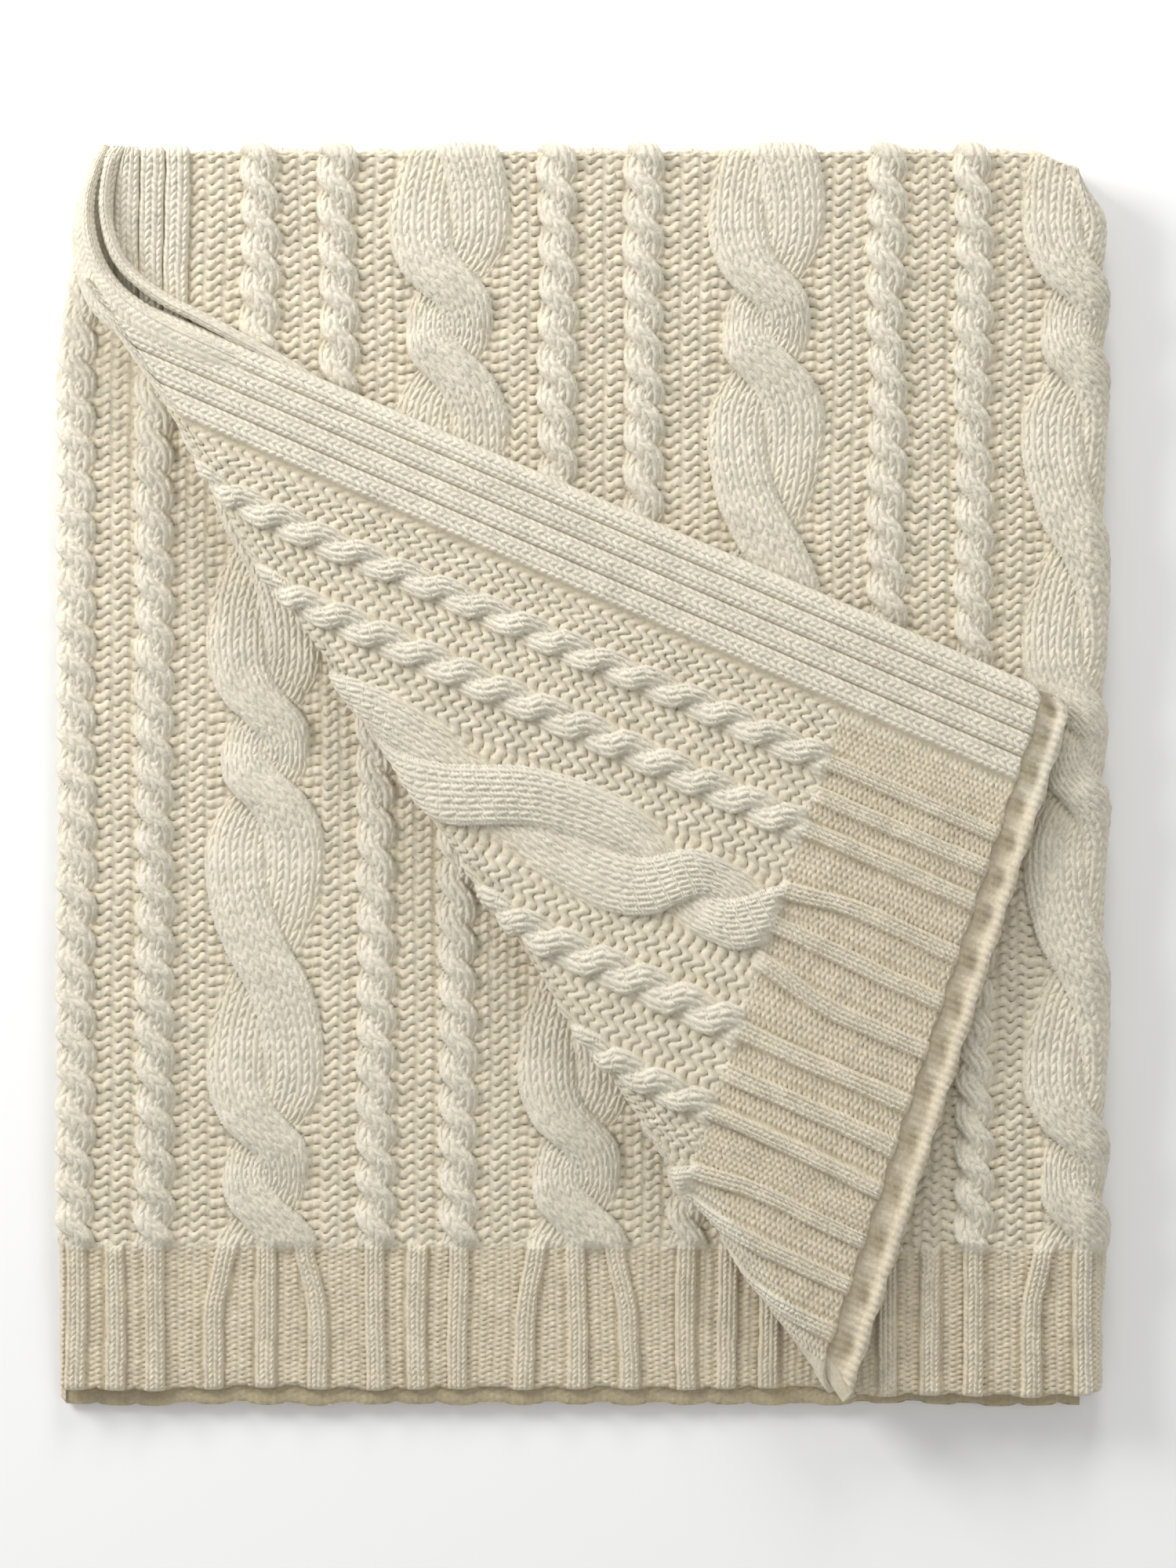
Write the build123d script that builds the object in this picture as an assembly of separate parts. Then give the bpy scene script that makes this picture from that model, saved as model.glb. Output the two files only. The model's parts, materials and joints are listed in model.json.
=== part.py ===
"""Folded cable-knit throw: one knitted textile folded in four, with one corner turned back.

The textile is folded lengthwise, so that it is double, and then in half across. Four plies lie on
each other, numbered upwards from 0. The corner of the upper half is turned up over the fold line and
adds plies 4 and 5. Each solid is one zone of one ply: panel, ribbed hem, ribbed side band or fold.

Frame, in millimetres: +Z up, Z 0 is the surface the throw lies on, +Y runs along the knit columns
away from the hems, +X points at the edge where the two halves join.
"""
from build123d import *
import math
import os

# Whole throw as it lies folded
HALF_WIDTH = 314.0
HALF_LENGTH = 375.5

# Plies
PLY = 8.2
CLEARANCE = 0.3
PITCH = PLY + CLEARANCE
TOP_ROLL = PLY + CLEARANCE / 2
INNER_ROLL = PLY + CLEARANCE / 2
OUTER_ROLL = 2 * PITCH - CLEARANCE / 2
ROLL_BORE = 0.6

# Straight edges of the two halves
RIGHT_TANGENT = HALF_WIDTH - OUTER_ROLL
TOP_TANGENT = HALF_LENGTH - TOP_ROLL
UPPER_LEFT = -290.0
UPPER_BAND_WIDTH = 66.0
HEM_TOP = -282.0
LOWER_FRONT_HEM_END = -366.0
LOWER_BACK_HEM_END = -HALF_LENGTH
UPPER_FRONT_HEM_END = -368.0
UPPER_BACK_HEM_END = -366.0

# The lower half's side bands, tucked in between its two plies
TUCKED_BAND = 2.6
TUCKED_WIDTH = 64.0
LOWER_EDGE_ROUND = PLY / 2

# Fold line of the turned-back corner: the outermost line of the roll, and the two corners
FOLD_START = (-290.0, 262.0)
FOLD_END = (138.0, -362.0)
FRONT_CORNER = (273.8, 51.7)
BACK_CORNER = (290.2, 42.3)
BAND_EDGE_SLOPE = math.radians(-23.2)
FRONT_HEM_SLOPE = math.radians(71.8)
BACK_HEM_SLOPE = math.radians(72.2)
FLAP_BAND_WIDTH = 68.0
FLAP_HEM_DEPTH = 108.0

FOLD_LENGTH = math.dist(FOLD_START, FOLD_END)
ALONG = tuple((b - a) / FOLD_LENGTH for a, b in zip(FOLD_START, FOLD_END))
INWARD = (-ALONG[1], ALONG[0])


def level(ply):
    """Height of the lower face of a ply."""
    return ply * PITCH


def shifted(point, direction, distance):
    """A plan point moved along a plan direction."""
    return (point[0] + direction[0] * distance, point[1] + direction[1] * distance)


def heading(angle):
    """Plan direction for an angle from +X."""
    return (math.cos(angle), math.sin(angle))


def crossing(point_a, dir_a, point_b, dir_b):
    """Where two plan lines, each a point and a direction, meet."""
    det = dir_a[0] * dir_b[1] - dir_a[1] * dir_b[0]
    gap = (point_b[0] - point_a[0], point_b[1] - point_a[1])
    reach = (gap[0] * dir_b[1] - gap[1] * dir_b[0]) / det
    return shifted(point_a, dir_a, reach)


def fold_tangent(setback=0.0):
    """The plan line where flat cloth turns into the corner roll."""
    return shifted(FOLD_START, INWARD, OUTER_ROLL + setback), ALONG


def on_tangent_x(x):
    """Point of the corner roll's tangent line at this X."""
    return crossing(*fold_tangent(), (x, 0.0), (0.0, 1.0))


def on_tangent_y(y):
    """Point of the corner roll's tangent line at this Y."""
    return crossing(*fold_tangent(), (0.0, y), (1.0, 0.0))


def sheet(outline, ply, thickness=PLY, raised=0.0):
    """A flat zone of one ply: its plan outline pulled up from the ply's lower face."""
    face = make_face(Polyline(*outline, close=True))
    return Pos(0, 0, level(ply) + raised) * extrude(face, thickness)


def rectangle(x_low, x_high, y_low, y_high):
    """Plan outline of a straight zone."""
    return [(x_low, y_low), (x_high, y_low), (x_high, y_high), (x_low, y_high)]


def half_tube(length, outer, bore):
    """Half a tube along +X from the origin, bulging towards +Y."""
    solid = Rot(0, 90, 0) * (Cylinder(outer, length) - Cylinder(bore, length))
    keep = Pos(0, outer, 0) * Box(length, 2 * outer, 2 * outer)
    return Pos(length / 2, 0, 0) * (solid & keep)


def top_fold(x_low, x_high, ply):
    """The lengthwise fold that joins ply and the one above it along the far edge."""
    roll = half_tube(x_high - x_low, TOP_ROLL, ROLL_BORE)
    return Pos(x_low, TOP_TANGENT, level(ply) + TOP_ROLL) * roll


def right_wrap(y_low, y_high, outer, bore):
    """The fold between the halves: one ply turning round the right edge."""
    roll = Rot(0, 0, -90) * half_tube(y_high - y_low, outer, bore)
    return Pos(RIGHT_TANGENT, y_high, level(2) - CLEARANCE / 2) * roll


def corner_roll(outer, bore):
    """One ply of the rolled fold of the turned-back corner."""
    start = fold_tangent()[0]
    angle = math.degrees(math.atan2(ALONG[1], ALONG[0]))
    roll = Rot(0, 0, angle) * Rot(180, 0, 0) * half_tube(FOLD_LENGTH, outer, bore)
    return Pos(start[0], start[1], level(4) - CLEARANCE / 2) * roll


def lower_panel(ply):
    """A ply of the lower half above the hem, thinner over the tucked band, round at its edge."""
    inner_x = UPPER_LEFT + UPPER_BAND_WIDTH - TUCKED_WIDTH / 3
    round_x = LOWER_EDGE_ROUND - HALF_WIDTH
    main = sheet(rectangle(inner_x, RIGHT_TANGENT, HEM_TOP, TOP_TANGENT), ply)
    lift = TUCKED_BAND + 0.1 if ply else 0.0
    strip = sheet(rectangle(round_x, inner_x, HEM_TOP, TOP_TANGENT), ply, PLY - TUCKED_BAND - 0.1, lift)
    edge = Rot(90, 0, 0) * Cylinder(LOWER_EDGE_ROUND, TOP_TANGENT - HEM_TOP)
    edge = Pos(round_x, (TOP_TANGENT + HEM_TOP) / 2, level(ply) + LOWER_EDGE_ROUND) * edge
    return main + strip + (edge & lower_edge_keep(round_x))


def lower_edge_keep(round_x):
    """The space left of the line where the lower half's edge starts to turn."""
    return Pos(round_x - PLY, 0, 2 * PLY) * Box(2 * PLY, 4 * HALF_LENGTH, 8 * PLY)


def tucked_band(ply):
    """The side band of one lower ply, turned in between the two."""
    inner_x = UPPER_LEFT + UPPER_BAND_WIDTH - TUCKED_WIDTH / 3
    raised = 0.0 if ply else PLY - TUCKED_BAND
    start_x = LOWER_EDGE_ROUND - HALF_WIDTH
    return sheet(rectangle(start_x, inner_x, HEM_TOP, TOP_TANGENT), ply, TUCKED_BAND, raised)


def lower_hem(ply, end_y):
    """Ribbed hem of a lower ply."""
    return sheet(rectangle(-HALF_WIDTH, RIGHT_TANGENT, end_y, HEM_TOP), ply)


def upper_edge_x():
    """Right end of the upper half's flat plies, clear of the wraps."""
    return RIGHT_TANGENT - CLEARANCE


def upper_band(ply):
    """Side band of an upper ply, ending on the corner fold."""
    inner_x = UPPER_LEFT + UPPER_BAND_WIDTH
    outline = [(UPPER_LEFT, TOP_TANGENT), (inner_x, TOP_TANGENT), on_tangent_x(inner_x),
               on_tangent_x(UPPER_LEFT)]
    return sheet(outline, ply)


def upper_panel(ply):
    """Cabled panel of an upper ply, ending on the corner fold."""
    inner_x = UPPER_LEFT + UPPER_BAND_WIDTH
    outline = [(inner_x, TOP_TANGENT), (upper_edge_x(), TOP_TANGENT), (upper_edge_x(), HEM_TOP),
               on_tangent_y(HEM_TOP), on_tangent_x(inner_x)]
    return sheet(outline, ply)


def upper_hem(ply, end_y):
    """What is left of an upper ply's hem beside the corner fold."""
    outline = [on_tangent_y(HEM_TOP), (upper_edge_x(), HEM_TOP), (upper_edge_x(), end_y),
               on_tangent_y(end_y)]
    return sheet(outline, ply)


def flap_outlines(corner, hem_slope):
    """Plan outlines of a turned-back ply's panel, hem and side band."""
    tangent = fold_tangent(CLEARANCE)
    band_dir = heading(BAND_EDGE_SLOPE)
    hem_dir = heading(hem_slope)
    band_inner = shifted(corner, (band_dir[1], -band_dir[0]), FLAP_BAND_WIDTH)
    hem_inner = shifted(corner, (-hem_dir[1], hem_dir[0]), FLAP_HEM_DEPTH)
    band = [crossing(*tangent, corner, band_dir), corner,
            crossing(corner, hem_dir, band_inner, band_dir), crossing(*tangent, band_inner, band_dir)]
    hem = [crossing(hem_inner, hem_dir, band_inner, band_dir),
           crossing(corner, hem_dir, band_inner, band_dir),
           crossing(*tangent, corner, hem_dir), crossing(*tangent, hem_inner, hem_dir)]
    panel = [crossing(*tangent, band_inner, band_dir),
             crossing(hem_inner, hem_dir, band_inner, band_dir),
             crossing(*tangent, hem_inner, hem_dir)]
    return {"panel": panel, "hem_rib": hem, "side_band": band}


def lower_half_parts():
    """The half that lies on the surface."""
    return {
        "lower_back_panel": lower_panel(0),
        "lower_front_panel": lower_panel(1),
        "lower_back_hem_rib": lower_hem(0, LOWER_BACK_HEM_END),
        "lower_front_hem_rib": lower_hem(1, LOWER_FRONT_HEM_END),
        "lower_back_side_band": tucked_band(0),
        "lower_front_side_band": tucked_band(1),
        "lower_top_fold": top_fold(-HALF_WIDTH, RIGHT_TANGENT, 0),
        "right_fold_inner_wrap": right_wrap(LOWER_FRONT_HEM_END, TOP_TANGENT, INNER_ROLL, ROLL_BORE),
        "right_fold_outer_wrap": right_wrap(UPPER_FRONT_HEM_END, TOP_TANGENT, OUTER_ROLL,
                                            INNER_ROLL + CLEARANCE),
    }


def upper_half_parts():
    """The half that opens about the right edge."""
    return {
        "upper_back_panel": upper_panel(2),
        "upper_front_panel": upper_panel(3),
        "upper_back_hem_rib": upper_hem(2, UPPER_BACK_HEM_END),
        "upper_front_hem_rib": upper_hem(3, UPPER_FRONT_HEM_END),
        "upper_back_side_band": upper_band(2),
        "upper_front_side_band": upper_band(3),
        "upper_top_fold": top_fold(UPPER_LEFT, upper_edge_x(), 2),
        "corner_fold_inner_roll": corner_roll(INNER_ROLL, ROLL_BORE),
        "corner_fold_outer_roll": corner_roll(OUTER_ROLL, INNER_ROLL + CLEARANCE),
    }


def corner_flap_parts():
    """The turned-back corner: the back ply lies under the front ply, its edge further out."""
    parts = {}
    for side, ply, corner, slope in (("back", 4, BACK_CORNER, BACK_HEM_SLOPE),
                                     ("front", 5, FRONT_CORNER, FRONT_HEM_SLOPE)):
        for zone, outline in flap_outlines(corner, slope).items():
            parts[f"flap_{side}_{zone}"] = sheet(outline, ply)
    return parts


def main():
    """Writes one STEP file for each zone."""
    os.makedirs("parts", exist_ok=True)
    for parts in (lower_half_parts(), upper_half_parts(), corner_flap_parts()):
        for name, solid in parts.items():
            export_step(solid, f"parts/{name}.step")


main()
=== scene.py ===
"""Folded cable-knit throw: the knitted cloth itself, stitch by stitch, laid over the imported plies.

Every zone of every ply is a closed mesh: its right side carries the relief of the stitches, its
wrong side is plain. Stitches are worked out in cloth coordinates, in millimetres: u runs across the
knit columns as seen on the right side, v runs up them, away from the hem.
"""
import json
import math
from functools import partial

import bpy
import numpy as np
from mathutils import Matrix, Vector


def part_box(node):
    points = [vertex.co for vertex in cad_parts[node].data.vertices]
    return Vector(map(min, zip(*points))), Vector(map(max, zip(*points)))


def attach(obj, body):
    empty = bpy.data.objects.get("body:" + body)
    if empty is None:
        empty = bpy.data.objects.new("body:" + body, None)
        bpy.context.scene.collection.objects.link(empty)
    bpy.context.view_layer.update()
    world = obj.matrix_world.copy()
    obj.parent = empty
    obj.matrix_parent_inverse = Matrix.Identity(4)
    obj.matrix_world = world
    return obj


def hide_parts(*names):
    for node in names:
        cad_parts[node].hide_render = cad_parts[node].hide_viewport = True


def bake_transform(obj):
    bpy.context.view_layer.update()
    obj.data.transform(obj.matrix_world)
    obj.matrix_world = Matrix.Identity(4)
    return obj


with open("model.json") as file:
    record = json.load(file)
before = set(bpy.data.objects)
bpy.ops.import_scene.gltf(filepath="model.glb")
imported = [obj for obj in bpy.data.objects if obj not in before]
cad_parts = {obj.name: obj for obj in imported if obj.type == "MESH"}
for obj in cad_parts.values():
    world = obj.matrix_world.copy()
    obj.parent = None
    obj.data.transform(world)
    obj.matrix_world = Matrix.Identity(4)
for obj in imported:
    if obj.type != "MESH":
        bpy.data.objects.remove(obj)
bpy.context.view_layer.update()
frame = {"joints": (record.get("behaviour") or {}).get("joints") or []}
MM = 0.001
LOW, HIGH = 0, 1
X, Y, Z = 0, 1, 2


def cad(node, end, axis):
    """One coordinate of a CAD node's box, in millimetres."""
    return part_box(node)[end][axis] / MM


def hinge(name):
    """Point and direction of a joint's axis, in millimetres."""
    joint = next(j for j in frame["joints"] if j["name"] == name)
    return np.array(joint["pos_m"]) / MM, np.array(joint["axis"])


# Places taken from the frame
PLY_NODES = ("lower_back_panel", "lower_front_panel", "upper_back_panel", "upper_front_panel",
             "flap_back_panel", "flap_front_panel")
LEVEL = [cad(node, LOW, Z) for node in PLY_NODES]
PLY = cad("flap_front_panel", HIGH, Z) - LEVEL[5]
RIGHT_TANGENT = cad("lower_front_hem_rib", HIGH, X)
RIGHT_EDGE = cad("right_fold_outer_wrap", HIGH, X)
TOP_TANGENT = cad("lower_front_panel", HIGH, Y)
HEM_TOP = cad("lower_front_panel", LOW, Y)
LOWER_LEFT = cad("lower_front_panel", LOW, X)
UPPER_LEFT = cad("upper_front_side_band", LOW, X)
BAND_INNER = cad("upper_front_side_band", HIGH, X)
HEM_END = {ply: cad(node, LOW, Y) for ply, node in enumerate(
    ("lower_back_hem_rib", "lower_front_hem_rib", "upper_back_hem_rib", "upper_front_hem_rib"))}
FOLD_POINT, FOLD_AXIS = hinge("corner_fold")
ALONG = FOLD_AXIS[:2] / np.linalg.norm(FOLD_AXIS[:2])
INWARD = np.array([-ALONG[1], ALONG[0]])
WRAP_Z = hinge("half_fold")[0][2]
WRAP_OUTER = RIGHT_EDGE - RIGHT_TANGENT
ROLL_OUTER = FOLD_POINT[2] - LEVEL[2]
ROLL_INNER = FOLD_POINT[2] - LEVEL[3]
TANGENT = float(INWARD @ FOLD_POINT[:2]) + ROLL_OUTER

# The turned-back corner: corner points, slopes of its band edge and hem edges, how far its columns
# fan out, its band and hem, the spacing of its hem ribs, the radius of its corner, and the ridges of
# its wrong side
FRONT_CORNER = np.array([273.8, 51.7])
BACK_CORNER = np.array([290.2, 42.3])
BAND_SLOPE = math.radians(-23.2)
FRONT_HEM_SLOPE = math.radians(71.8)
BACK_HEM_SLOPE = math.radians(72.2)
BAND_FAN = math.radians(2.0) / 300.0
FLAP_BAND = 66.0
FLAP_HEM = 109.0
FLAP_RIB = 28.4
CORNER_ROUND = 13.0
BACK_RIDGE = 4.6

# Stitches: rows, purl waves, ribs, and the thickness of the ground
ROW = 6.3
PURL_WAVE = 11.3
PURL_SWING = 0.28
LEG_SLANT = 0.85
HEM_ROW = 3.3
HEM_PURL_WAVE = 9.0
RIB_HALF = 5.9
BAND_RIB = 14.4
BAND_RIBS = 4.0
BAND_ROW = 4.6
GROUND = 2.3

# How much prouder cloth stands that nothing presses on, a height below any cloth, and a round dome
PROUD = 0.22
NOTHING = -9.0
ROUND = 2.0

# Folds: the gap between plies, how far a tucked side band lifts the edge, where the left edge turns,
# and the length of cloth that turns at each fold
PLY_GAP = 0.3
TUCK = 2.7
EDGE_TURN = LOWER_LEFT + PLY - TUCK
EDGE_LENGTH = 12.0
WRAP_LENGTH = 42.0
INNER_LENGTH = 18.0
TOP_LENGTH = 16.0
OUTER, INNER = 1.0, -1.0
ROLL_LENGTH = {OUTER: math.pi * 14.0, INNER: math.pi * 6.0}

# How far inside the CAD hem's end the knitted one ends between its ribs, how far outside a free edge
# its rounding starts, and the least length of a column
HEM_MARGIN = 1.5
EDGE_MARGIN = 0.6
SLIVER = 0.5

# How the far left corner of each half draws in: from which y, how far, left of which x, over what
LOWER_DRAW = (235.0, 34.0, -170.0, 110.0)
UPPER_DRAW = (335.0, 12.0, -262.0, 28.0)

# Cables, in front cloth coordinates: the small ones stand in pairs between the big ones
SMALL_CROSSING = 22.4
SMALL_HALF = 12.5
BIG_HALF = 31.0
FAR_AWAY = 60.0
BIG_PERIOD = 252.0
BIG_CENTRE = -237.0
UPPER_SMALL = ((-191.5, -144.5), (-14.3, 36.4), (180.7, 232.4), (367.0, 415.0))
UPPER_BIG = (-78.7, 109.3, 297.0)
LOWER_SMALL = ((-302.0, -255.0), (-123.4, -74.0), (62.3, 111.6), (248.0, 297.0))
LOWER_BIG = (-189.0, -3.5, 182.0, 362.0)

# The flap's columns as they lie and in cloth coordinates, the stretch of its rows, and their shift
FLAP_FROM = (0.0, 66.0, 91.0, 134.0, 194.5, 260.0, 313.0, 343.0, 372.0, 420.0)
FLAP_TO = (0.0, 66.0, 98.5, 145.5, 211.3, 275.7, 326.4, 368.3, 399.3, 450.0)
FLAP_ROW_SCALE = 1.177
FLAP_PATTERN_SHIFT = 94.4

# The cloth of each half and of the corner: its cables, where its side band begins and its hem ends,
# how stretched its rows are, where its small cables first cross, how steep the strands' bends are
# (a small number is steep), how linked its purl rows are, and how high its hem ribs stand
NO_BAND = -1000.0
UPPER_CLOTH = {"small": UPPER_SMALL, "big": UPPER_BIG, "edge": UPPER_LEFT - 1.0, "hem_top": HEM_TOP,
               "stretch": 1.0, "start": 13.5, "steep": 4.0, "linked": 0.35, "rib": 2.1}
LOWER_CLOTH = dict(UPPER_CLOTH, small=LOWER_SMALL, big=LOWER_BIG, edge=NO_BAND, start=-2.1)
FLAP_CLOTH = dict(UPPER_CLOTH, hem_top=HEM_TOP + (FLAP_HEM - FLAP_PATTERN_SHIFT) / FLAP_ROW_SCALE,
                  stretch=FLAP_ROW_SCALE, steep=1.0, linked=0.7, rib=2.0)

# The curled side edge above the turned-back corner: stations along each curl, from the far edge of
# the throw down to the flap. Ridge x, y, z; then reach and foot height to the left, then the right
INNER_CURL = (
    (-277.0, 374.0, 30.0, 3.0, 24.0, 3.5, 22.0), (-281.0, 360.0, 38.0, 3.2, 30.0, 3.8, 29.0),
    (-283.0, 341.0, 42.0, 3.4, 33.0, 4.0, 30.0), (-281.0, 324.0, 43.5, 3.5, 35.0, 4.2, 30.0),
    (-275.0, 307.0, 44.5, 3.6, 36.0, 4.4, 30.0), (-264.0, 294.0, 45.5, 3.6, 37.0, 4.6, 30.0),
    (-247.0, 281.5, 46.5, 3.6, 39.0, 4.8, 30.0), (-228.0, 271.6, 47.0, 3.6, 41.0, 4.8, 31.0),
    (-202.0, 257.8, 46.5, 3.6, 42.0, 4.6, 33.0), (-172.0, 241.5, 43.0, 3.4, 39.0, 4.0, 35.0),
    (-150.0, 228.0, 38.5, 3.0, 36.0, 3.0, 35.0))
OUTER_CURL = (
    (-282.0, 374.5, 28.0, 4.0, 18.0, 4.0, 20.0), (-288.0, 361.0, 36.0, 5.5, 17.0, 4.0, 28.0),
    (-292.5, 342.0, 42.0, 7.5, 14.0, 4.5, 31.0), (-292.5, 324.0, 45.0, 11.5, 14.0, 5.0, 32.0),
    (-288.0, 306.0, 47.0, 14.5, 15.0, 5.5, 33.0), (-279.0, 290.0, 49.0, 18.0, 22.0, 6.0, 34.0),
    (-264.5, 276.5, 50.5, 19.0, 30.0, 6.5, 36.0), (-245.0, 265.0, 51.0, 18.0, 38.0, 6.5, 38.0),
    (-218.0, 252.5, 50.0, 16.0, 42.0, 6.0, 40.0), (-188.0, 239.0, 45.0, 13.0, 40.0, 5.5, 38.0),
    (-165.0, 228.0, 39.0, 10.0, 36.0, 5.0, 34.0))
CURL_LEG = 3.6
CURL_MEAN = 5.6

# Studio, in metres, watts and, for the camera, millimetres: each light's name, place, size, power
LIGHTS = (("key", (-1.9, 1.3, 1.15), 1.0, 52.0), ("top", (0.3, 2.1, 1.1), 0.8, 21.0),
          ("fill", (1.8, -1.5, 2.4), 2.5, 12.0))
SURROUND = 0.48
FLOOR = 6.0
EYE = (0.0035, -0.0047, 3.0)
SENSOR = 36.0
LENS = 115.0

# Grids: the step where the cloth shows and where it hides, the reach of a slope in steps, a length
# that is as good as none, and the painted shade level of a plain wrong side
COARSER = 1.0
FINE = 0.95 * COARSER
PLAIN = 1.7 * COARSER
REACH = 0.35
TINY = 1e-9
BACK_SHADE_LEVEL = 2.5


def fade(x):
    """Smooth step from 0 to 1."""
    x = np.clip(x, 0.0, 1.0)
    return x * x * (3.0 - 2.0 * x)


def dome(x, power=ROUND):
    """A rounded profile, 1 at 0 and 0 at -1 and 1."""
    return np.sqrt(np.clip(1.0 - np.abs(x) ** power, 0.0, 1.0))


def waves(u, v, length, seed):
    """A smooth irregular field between about -1 and 1, with ripples about this long."""
    rng = np.random.default_rng(seed)
    total = 0.0
    for _ in range(5):
        angle = rng.uniform(0.0, 2.0 * math.pi)
        pace = 2.0 * math.pi / length * rng.uniform(0.6, 1.5)
        phase = rng.uniform(0.0, 2.0 * math.pi)
        total = total + np.sin(pace * (u * math.cos(angle) + v * math.sin(angle)) + phase)
    return total / 3.0


def scatter(i, j):
    """A fixed random number from 0 to 1 for each pair of whole numbers."""
    value = np.sin(i * 12.9898 + j * 78.233) * 43758.5453
    return value - np.floor(value)


def knit_legs(across, rows, power=ROUND):
    """Knit stitches, 0 to 1 high: across counts yarn legs, two to a stitch, and rows counts rows.
    A small power makes the grooves between the legs wide."""
    leg = np.floor(across)
    f = across - leg - 0.5
    lean = 1.0 - 2.0 * np.mod(leg, 2.0)
    place = rows + LEG_SLANT * lean * f
    row = np.floor(place)
    bead = place - row - 0.5
    size = 0.8 + 0.2 * scatter(leg, row)
    return size * dome(1.9 * f, power) * (0.1 + 0.9 * dome(1.8 * bead))


def purl_bumps(u, v, row, wave, swing, linked=0.0):
    """Purl stitches, 0 to 1 high: rows of arcs, more or less linked into waves."""
    turn = np.cos(2.0 * math.pi * u / wave)
    place = v / row - swing * turn
    line = np.floor(place)
    f = place - line - 0.5
    size = 0.7 + 0.3 * scatter(np.floor(2.0 * u / wave + 0.5), line)
    crest = 1.0 - 0.5 * (1.0 - linked) * (1.0 - turn * turn)
    return np.maximum(size * dome(2.1 * f) * crest, 0.36 * (1.0 - turn * turn))


def strands(d, v, phase, pace, swing, half, wales, lift, thick, power, steep):
    """Two flat strands of knit columns that cross over each other, side to side of d = 0. phase
    grows by pace per millimetre; a small steep makes the crossings short."""
    best = np.full_like(d, NOTHING)
    for turn in (0.0, math.pi):
        side, front = np.sin(phase + turn), np.cos(phase + turn)
        reach = side * side + steep
        centre = swing * side * np.sqrt((1.0 + steep) / reach)
        lean = swing * pace * front * steep * math.sqrt(1.0 + steep) / reach ** 1.5
        wide = half * np.sqrt(1.0 + 0.8 * lean * lean)
        s = np.clip((d - centre) / wide, -1.0, 1.0)
        body = GROUND + lift * front + thick * dome(s, power)
        spread = 0.6 * s + 0.4 * np.arcsin(s) * 2.0 / math.pi
        rows = (v + lean * (d - centre) / (1.0 + lean * lean)) / ROW
        stitch = knit_legs((spread + 1.0) * wales, rows + 7.0 * turn, 1.4)
        height = body + (2.0 * stitch - 1.2) * dome(s, 6.0)
        best = np.maximum(best, np.where(np.abs(s) < 0.999, height, NOTHING))
    return best


def small_cable(d, v, steep):
    """Four stitches, two over two."""
    pace = -math.pi / SMALL_CROSSING
    return strands(d, v, pace * v, pace, swing=5.0, half=7.3, wales=2, lift=2.1, thick=3.7,
                   power=2.6, steep=steep)


def big_cable(d, v):
    """Twelve stitches, six over six, with one short lobe after two long ones."""
    y = (BIG_CENTRE - v) / BIG_PERIOD
    turns = 3.0 * y + 0.5 + 0.263 * np.sin(2.0 * math.pi * y) + 0.0757 * np.sin(4.0 * math.pi * y)
    pace = 3.0 + 1.652 * np.cos(2.0 * math.pi * y) + 0.951 * np.cos(4.0 * math.pi * y)
    tight = np.exp(-(((y + 0.5) % 1.0 - 0.5) / 0.13) ** 2)
    swing = 17.6 - 5.6 * tight
    half = 18.3 - 4.4 * tight
    return strands(d, v, math.pi * turns, -math.pi * pace / BIG_PERIOD, swing, half, wales=5.5,
                   lift=2.4, thick=3.7, power=2.8, steep=4.0)


def rib_centres(cloth):
    """Hem ribs and how far each leans towards its cable at the top: one at each small cable, one
    between a pair, and three under each big cable."""
    centres = []
    for left, right in cloth["small"]:
        centres += [(left, 0.0), ((left + right) / 2.0, 0.0), (right, 0.0)]
    for centre in cloth["big"]:
        centres += [(centre - BIG_HALF, 8.0), (centre, 0.0), (centre + BIG_HALF, -8.0)]
    return centres


def panel_relief(u, v, cloth):
    """Purl ground with the cables on it."""
    near = np.full_like(u, FAR_AWAY)
    cables = np.full_like(u, NOTHING)
    for centre in [c for pair in cloth["small"] for c in pair]:
        d = u - centre
        near = np.minimum(near, np.abs(d) - SMALL_HALF)
        hit = np.abs(d) < 17.0
        cable = small_cable(d[hit], v[hit] - cloth["start"], cloth["steep"])
        cables[hit] = np.maximum(cables[hit], cable)
    for centre in cloth["big"]:
        d = u - centre
        near = np.minimum(near, np.abs(d) - BIG_HALF)
        hit = np.abs(d) < 42.0
        cables[hit] = np.maximum(cables[hit], big_cable(d[hit], v[hit]))
    swing = 0.1 + (0.16 + 0.2 * cloth["linked"]) * fade(near / 7.0)
    bumps = purl_bumps(u, v, ROW, PURL_WAVE, swing, cloth["linked"])
    ground = GROUND - 0.8 + 2.8 * bumps - 0.5 * (1.0 - fade(near / 5.0))
    return np.maximum(ground, cables)


def hem_relief(u, v, cloth):
    """Knit two, purl three."""
    ribs = np.full_like(u, NOTHING)
    row = HEM_ROW / cloth["stretch"]
    gap = np.full_like(u, FAR_AWAY)
    gather = fade((v - cloth["hem_top"] + 42.0) / 50.0)
    for centre, lean in rib_centres(cloth):
        d = (u - centre - lean * gather) / RIB_HALF
        gap = np.minimum(gap, (np.abs(d) - 1.0) * RIB_HALF)
        hit = np.abs(d) < 1.0
        s = d[hit]
        stitch = knit_legs((s + 1.0) * 2.0, v[hit] / row, 1.2)
        ribs[hit] = GROUND + cloth["rib"] * dome(s, 4.0) + 2.1 * stitch * dome(s, 8.0) - 0.3
    between = purl_bumps(u, v, row, HEM_PURL_WAVE, PURL_SWING)
    ground = GROUND - 1.2 + 1.7 * between + 0.8 * fade(gap / 5.0)
    return np.maximum(ground, ribs)


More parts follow.
